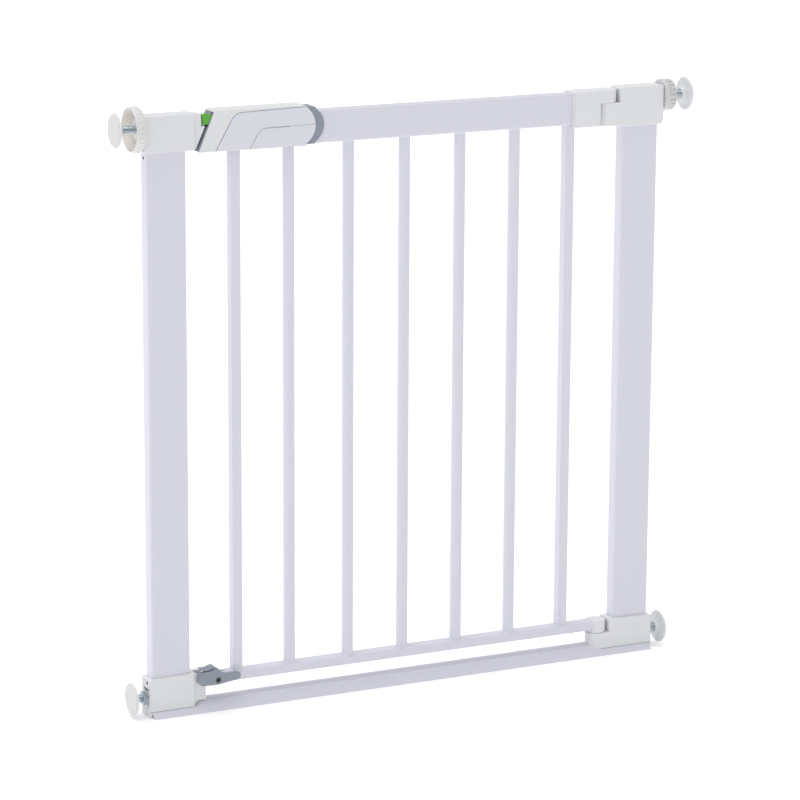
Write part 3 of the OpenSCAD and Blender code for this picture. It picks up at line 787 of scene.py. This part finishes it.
SHELL_FACE = 14  # mm, depth of the housings' faces on both sides
SHELL_ROUND = 1.8
BRACKET_ROUND = 2
BRACKET_FOOT = 10  # mm, height of the brackets' lower corners, which stay sharp
SHADOW_LINES = {  # painted shadow lines, drawn between each bracket and the floor bar
    "lower_latch_bracket": [(-363, 7.8), (-303, 7.8), (-295, 14.2)],
    "lower_hinge_bracket": [(286, 7.8), (363, 7.8)],
}
SHADOW_WIDTH, SHADOW_FRONT, SHADOW_BACK = 0.7, -14.35, -12.5
SLOT_FRONT, SLOT_BACK = -11.7, 5.8  # mm, the slots in the latch bracket's outer side
SLOT_LOW, SLOT_HIGH = 34, 48


def holes_of(*cad, radius=6):
    """Circles around the screws of the given nodes, whose holes stay sharp; radius in mm."""
    found = []
    for node in cad:
        for low, high in islands(node):
            found.append(((low.x + high.x) / 2, (low.z + high.z) / 2, radius * MM))
    return found


def shells():
    """The housings, the leaf's hinge and the brackets."""
    holes = holes_of("housing_screws", "leaf_hinge_screws", "handle_screws")
    for node in ("latch_housing", "hinge_housing", "leaf_hinge"):
        for half, side in (("_front", -1), ("_back", 1)):
            edges = [(SHELL_FACE * side, SHELL_ROUND)]
            if node == "latch_housing":
                edges.append((11.5 * side, 0.9))
            stand_for(moulded(node + half, edges, holes), node + half)
    faces = [(-SHELL_FACE, BRACKET_ROUND), (SHELL_FACE, BRACKET_ROUND)]
    latch_side = moulded("lower_latch_bracket", faces + [(-11.5, 0.9), (12, 0.9)],
                         above=BRACKET_FOOT)
    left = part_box("lower_latch_bracket")[0].x
    post_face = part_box("left_post")[0].x

    def in_slots(centre, normal):
        x, y, z = centre / MM
        behind_face = left / MM + 0.3 < x < post_face / MM - 0.1
        return behind_face and SLOT_LOW < z < SLOT_HIGH and SLOT_FRONT < y < SLOT_BACK

    # painted shade: the slots' inner faces are made near-black for the shade inside them
    paint_faces(latch_side, DEEP, in_slots)
    stand_for(latch_side, "lower_latch_bracket")
    hinge_side = moulded("lower_hinge_bracket", faces, above=BRACKET_FOOT)
    stand_for(hinge_side, "lower_hinge_bracket")
    # a thin dark ribbon under each bracket: a painted shadow line, not a part
    for node, line in SHADOW_LINES.items():
        shadow = ribbon(node + "_line", line, SHADOW_WIDTH, SHADOW_FRONT, SHADOW_BACK, PAINTED_SHADE)
        trim_of(shadow, node)


HANDLE_FACE = -15.0  # mm, depth of the handle's front
SCOOP_CORNER = (-208.6, 744.3)
SCOOP_FOOT = (-223.9, 717.3)
SCOOP_RADIUS = 17
SCOOP_TOP = 744.6  # mm, where the grip's rows of points end, less the gap
SCOOP_DEPTH = 0.95
GRIP_GAP = 0.45  # mm, between the grip's edge and the cover
BELLY_TIP = (-119.2, 744.9)
BELLY_START = -160  # mm, the panel's points to the right of this are its belly
BORDER_LINE = rounded([(-269.8, 717), (-242.4, 765.0), (-142.5, 767.5)], [0, 18, 0], 10)
GROOVE_WIDTH, GROOVE_DEPTH = 0.9, 1.1
PANEL_MIDDLE = (-200, 755)  # mm, a place in X and Z within the groove
SCOOP_WALL = 1.6  # mm, from the recess's edge to its full depth
SCOOP_RISE = 78  # mm, along X, over which the floor rises again
RISE_SHARE = 0.75  # of the depth that the rise takes away


def scoop_edge():
    """The upper edge of the grip recess, from its foot to the belly, mm."""
    return rounded([SCOOP_FOOT, SCOOP_CORNER, BELLY_TIP], [0, SCOOP_RADIUS, 0], 14)


def paint_panel(front):
    """A cooler, slightly darker copy of the white, painted within the groove for the light's cool
    cast and spread from face to face, and painted shade in the groove.
    """
    front.data.materials.append(PANEL)
    front.data.materials.append(PAINTED_SHADE)
    form = bmesh.new()
    form.from_mesh(front.data)
    flat = [face for face in form.faces if face.normal.y < -0.98
            and abs(face.calc_center_median().y - HANDLE_FACE * MM) < 1e-5]
    middle = Vector((PANEL_MIDDLE[0], HANDLE_FACE, PANEL_MIDDLE[1])) * MM

    def from_middle(face):
        nearest = min((v.co - middle).length for v in face.verts)
        return nearest + (face.calc_center_median() - middle).length

    start = min(flat, key=from_middle)
    left, todo = set(flat) - {start}, [start]
    while todo:
        face = todo.pop()
        face.material_index = 1
        for edge in face.edges:
            for other in edge.link_faces:
                if other in left:
                    left.remove(other)
                    todo.append(other)
    # painted shade: the groove's faces get the dark colour, for the shade in the crease
    for face in form.faces:
        x, y, z = face.calc_center_median() / MM
        if 0.02 < y - HANDLE_FACE < 1.2 and gap_to(BORDER_LINE, x, z) < 0.6:
            face.material_index = 2
    form.to_mesh(front.data)
    form.free()


def handle():
    """The covers with the groove on the front one, the grey base and the grip."""
    front = moulded("handle_front", [(HANDLE_FACE, 1.3)])
    carve(front, ribbon("groove", BORDER_LINE, GROOVE_WIDTH, HANDLE_FACE - 1,
                        HANDLE_FACE + GROOVE_DEPTH, WHITE))
    paint_panel(front)
    stand_for(front, "handle_front")
    back = moulded("handle_back", [(-HANDLE_FACE, 1.3)], holes_of("handle_screws"))
    stand_for(back, "handle_back")
    stand_for(moulded("handle_base", [(-12.7, 0.6), (12.7, 0.6)]), "handle_base")
    grip()


def grip():
    """The scooped grip: deepest under its upper edge, rising towards the belly and the bottom."""
    edge = [(p[0], p[1]) for p in scoop_edge()]
    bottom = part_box("grip_panel")[0].z / MM
    columns, rows = 56, 22
    cad_points = {(round(v.co.z / MM, 2), round(v.co.x / MM, 2))
                  for v in nodes["grip_panel"].data.vertices}
    belly = [(x, z) for z, x in sorted(cad_points) if x > BELLY_START]
    belly_end = max(x for x, z in belly)
    front, back = [], []
    for j in range(rows + 1):
        z = bottom + (SCOOP_TOP - GRIP_GAP - bottom) * (j / rows)
        left = x_at(edge, z, edge[-1][0]) + GRIP_GAP
        right = x_at(belly, z, belly_end) - 0.05
        for i in range(columns + 1):
            x = left + (right - left) * (i / columns) ** 1.6
            wall = smooth_step(gap_to(edge, x, z) / SCOOP_WALL)
            rise = smooth_step((x - left) / SCOOP_RISE) * RISE_SHARE
            depth = SCOOP_DEPTH * wall * (1 - rise)
            front.append((x * MM, (HANDLE_FACE + 0.1 + depth * 0.92) * MM, z * MM))
            back.append((x * MM, (HANDLE_FACE + 1.0) * MM, z * MM))
    count = columns + 1
    faces = []
    for first in (0, len(front)):
        for j in range(rows):
            for i in range(columns):
                a = first + j * count + i
                faces.append([a, a + 1, a + count + 1, a + count])
    border = list(range(count))
    border += [j * count + columns for j in range(1, rows + 1)]
    border += [rows * count + i for i in reversed(range(columns))]
    border += [j * count for j in reversed(range(1, rows))]
    for a, b in zip(border, border[1:] + border[:1]):
        faces.append([a, b, b + len(front), a + len(front)])
    # the grip is painted with the same cool cast of light as the panel around it
    panel = new_piece("grip_panel_scoop", front + back, faces, PANEL)

    def by_edge(centre, normal):
        return gap_to(edge, centre.x / MM, centre.z / MM) < 1.0

    # painted shade: a dark strip along the scoop's upper edge, where the recess wall falls into
    # shade
    paint_faces(panel, PAINTED_SHADE, by_edge)
    stand_for(panel, "grip_panel")


def lever():
    """The stop lever, rounded all around on its front but for the screw's hole."""
    hole = holes_of("lever_screw", radius=4.4)
    stand_for(moulded("stop_lever", [(-18, 1.5)], hole, whole=True), "stop_lever")


# ---- put together

make_camera()
make_studio()
for name, obj in nodes.items():
    obj.data.materials.clear()
    obj.data.materials.append(MATERIALS[slot_of[name]])
shells()
handle()
lever()
for side in ("upper_left", "upper_right", "lower_left", "lower_right"):
    spindle(side + "_spindle")
    pad(side)
    facing(side)
cup_wheel()
crown_wheel()
lock_nut("lower_left_nut")
lock_nut("lower_right_nut")
screws("housing_screws", Y, 1, 1.75)
screws("leaf_hinge_screws", Y, 1, 1.75)
screws("handle_screws", Y, 1, 2.5)
screws("lever_screw", Y, -1, 2.0)
screws("bracket_screws", Z, -1, 2.0, head_length=3.0)
return_spring()
weld_beads()
